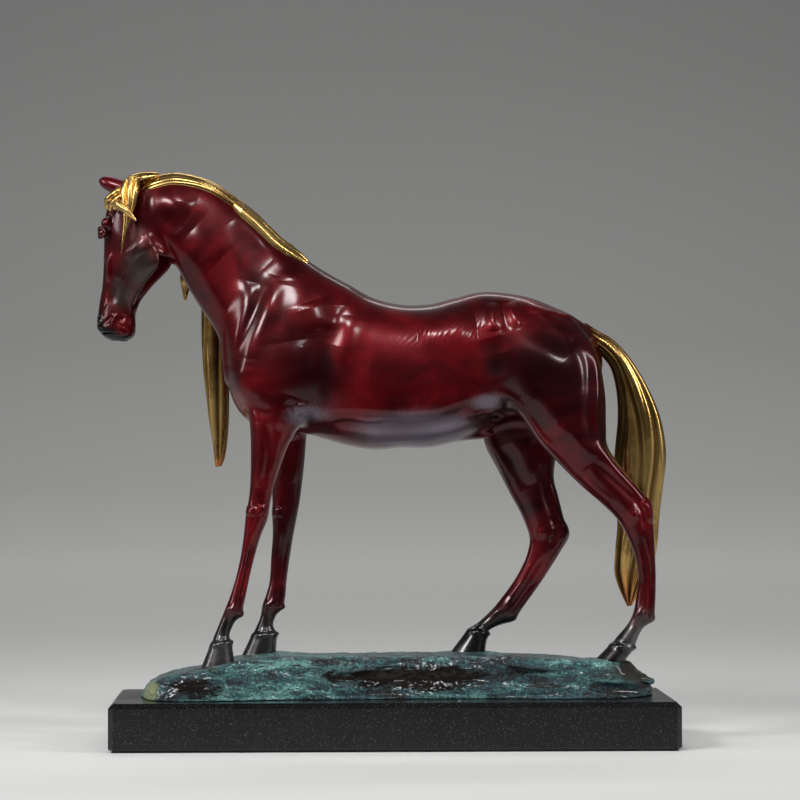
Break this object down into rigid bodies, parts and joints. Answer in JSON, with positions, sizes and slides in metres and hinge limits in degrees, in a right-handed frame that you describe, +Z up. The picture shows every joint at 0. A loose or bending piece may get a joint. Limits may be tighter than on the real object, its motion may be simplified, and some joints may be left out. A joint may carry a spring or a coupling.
{
  "type": "bronze horse statue",
  "caption": "Standing horse figurine of patinated bronze sections with a gilt mane and tail, on a bronze rock bolted to a chamfered black granite plinth.",
  "frame": {"origin": "centre of the felt underside, on the surface that the plinth stands on", "axes": "+Z up, the horse faces -X, its near (left) side is -Y"},
  "size_m": [0.3514, 0.12, 0.3492],
  "materials": {
    "red_bronze": "bronze with a polished deep red patina, mottled dark, black towards the hooves",
    "gold_bronze": "bare gold-coloured bronze, polished on the ridges and brown in the grooves",
    "rock_bronze": "cast bronze with a mottled blue-green patina over dark brown",
    "granite": "polished black granite with fine pale specks",
    "steel": "zinc-plated steel",
    "felt": "black felt"
  },
  "bodies": {
    "root": {"chest_tress": "gold_bronze", "ear_near": "red_bronze", "ear_off": "red_bronze", "felt_sheet": "felt", "forelock": "gold_bronze", "head": "red_bronze", "mane": "gold_bronze", "near_fore_leg": "red_bronze", "near_fore_stud": "steel", "near_fore_stud_nut": "steel", "near_fore_stud_washer": "steel", "near_hind_leg": "red_bronze", "near_hind_stud": "steel", "near_hind_stud_nut": "steel", "near_hind_stud_washer": "steel", "neck": "red_bronze", "off_fore_leg": "red_bronze", "off_fore_stud": "steel", "off_fore_stud_nut": "steel", "off_fore_stud_washer": "steel", "off_hind_leg": "red_bronze", "off_hind_stud": "steel", "off_hind_stud_nut": "steel", "off_hind_stud_washer": "steel", "plinth_bolt_1": "steel", "plinth_bolt_2": "steel", "plinth_bolt_3": "steel", "plinth_bolt_washer_1": "steel", "plinth_bolt_washer_2": "steel", "plinth_bolt_washer_3": "steel", "plinth_slab": "granite", "rock_ground": "rock_bronze", "tail": "gold_bronze", "torso": "red_bronze"}
  },
  "joints": []
}
